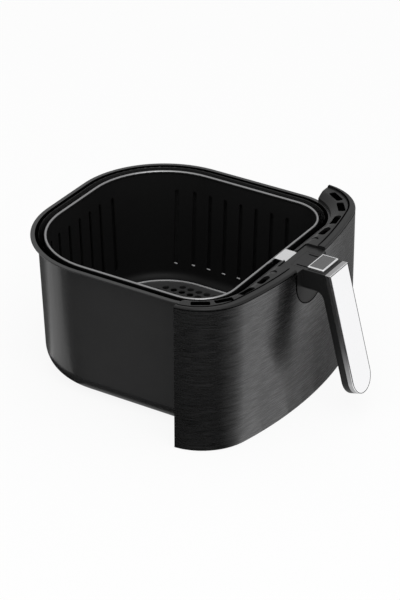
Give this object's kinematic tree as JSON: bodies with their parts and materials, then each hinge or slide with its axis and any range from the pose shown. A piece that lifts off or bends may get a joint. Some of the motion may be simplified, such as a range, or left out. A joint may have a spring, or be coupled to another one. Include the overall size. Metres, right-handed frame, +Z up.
{
  "type": "air fryer drawer",
  "caption": "Air fryer drawer: coated pan with a curved brushed front panel, lift-out slotted basket, slanted handle and a guarded release button.",
  "frame": {"origin": "centre of the pan's flat base, on the surface it stands on", "axes": "+Z up, handle towards -Y, so the drawer slides into its fryer along +Y; +X to the right seen from the handle"},
  "size_m": [0.285, 0.3373, 0.1515],
  "materials": {
    "nonstick_black": "satin non-stick coating",
    "black_plastic": "fine satin moulding",
    "black_brushed": "black-tinted, brushed along the front",
    "polished_face": "mirror polish",
    "satin_trim": "satin anodised",
    "bare_steel": "fine brushed",
    "zinc_steel": "zinc-plated",
    "bright_rim": "bright plated",
    "clear_plastic": "clear moulding",
    "button_black": "semi-gloss",
    "black_screw": "black oxide"
  },
  "bodies": {
    "drawer": {"outer_pan": "nonstick_black", "front_housing": "black_plastic", "inner_cover": "black_plastic", "panel_skin": "black_brushed", "vent_ring_left": "black_plastic", "vent_ring_right": "black_plastic", "ring_screws": "black_screw", "pan_screws": "zinc_steel", "catch_plate": "bare_steel", "catch_screws": "zinc_steel"},
    "basket": {"basket": "nonstick_black", "basket_floor": "nonstick_black", "handle_bracket": "bare_steel", "bracket_rivets": "bare_steel", "bracket_screws": "zinc_steel", "handle_body": "black_plastic", "neck_cover": "black_plastic", "handle_trim": "satin_trim", "handle_face": "polished_face", "handle_screws": "zinc_steel", "latch_pin": "zinc_steel", "return_spring": "bare_steel"},
    "button": {"release_button": "button_black"},
    "latch": {"latch_lever": "zinc_steel"},
    "guard": {"guard_frame": "bright_rim", "guard_window": "clear_plastic"}
  },
  "joints": [
    {"name": "basket_lift", "type": "slide", "parent": "drawer", "child": "basket", "axis": [0, 0, 1], "range_m": [0, 0.15]},
    {"name": "button_press", "type": "slide", "parent": "basket", "child": "button", "axis": [0, 0, -1], "range_m": [0, 0.003], "stiffness_N_per_m": 600, "springref_m": -0.002, "deforming": ["return_spring"]},
    {"name": "latch_swing", "type": "hinge", "parent": "basket", "child": "latch", "pos_m": [0, -0.146, 0.1295], "axis": [1, 0, 0], "range_deg": [0, 9.5]},
    {"name": "guard_slide", "type": "slide", "parent": "basket", "child": "guard", "axis": [0, 1, 0], "range_m": [0, 0.016]}
  ],
  "couplings": [
    {"joint": "latch_swing", "follows": "button_press", "rad_per_m": 54.113}
  ]
}
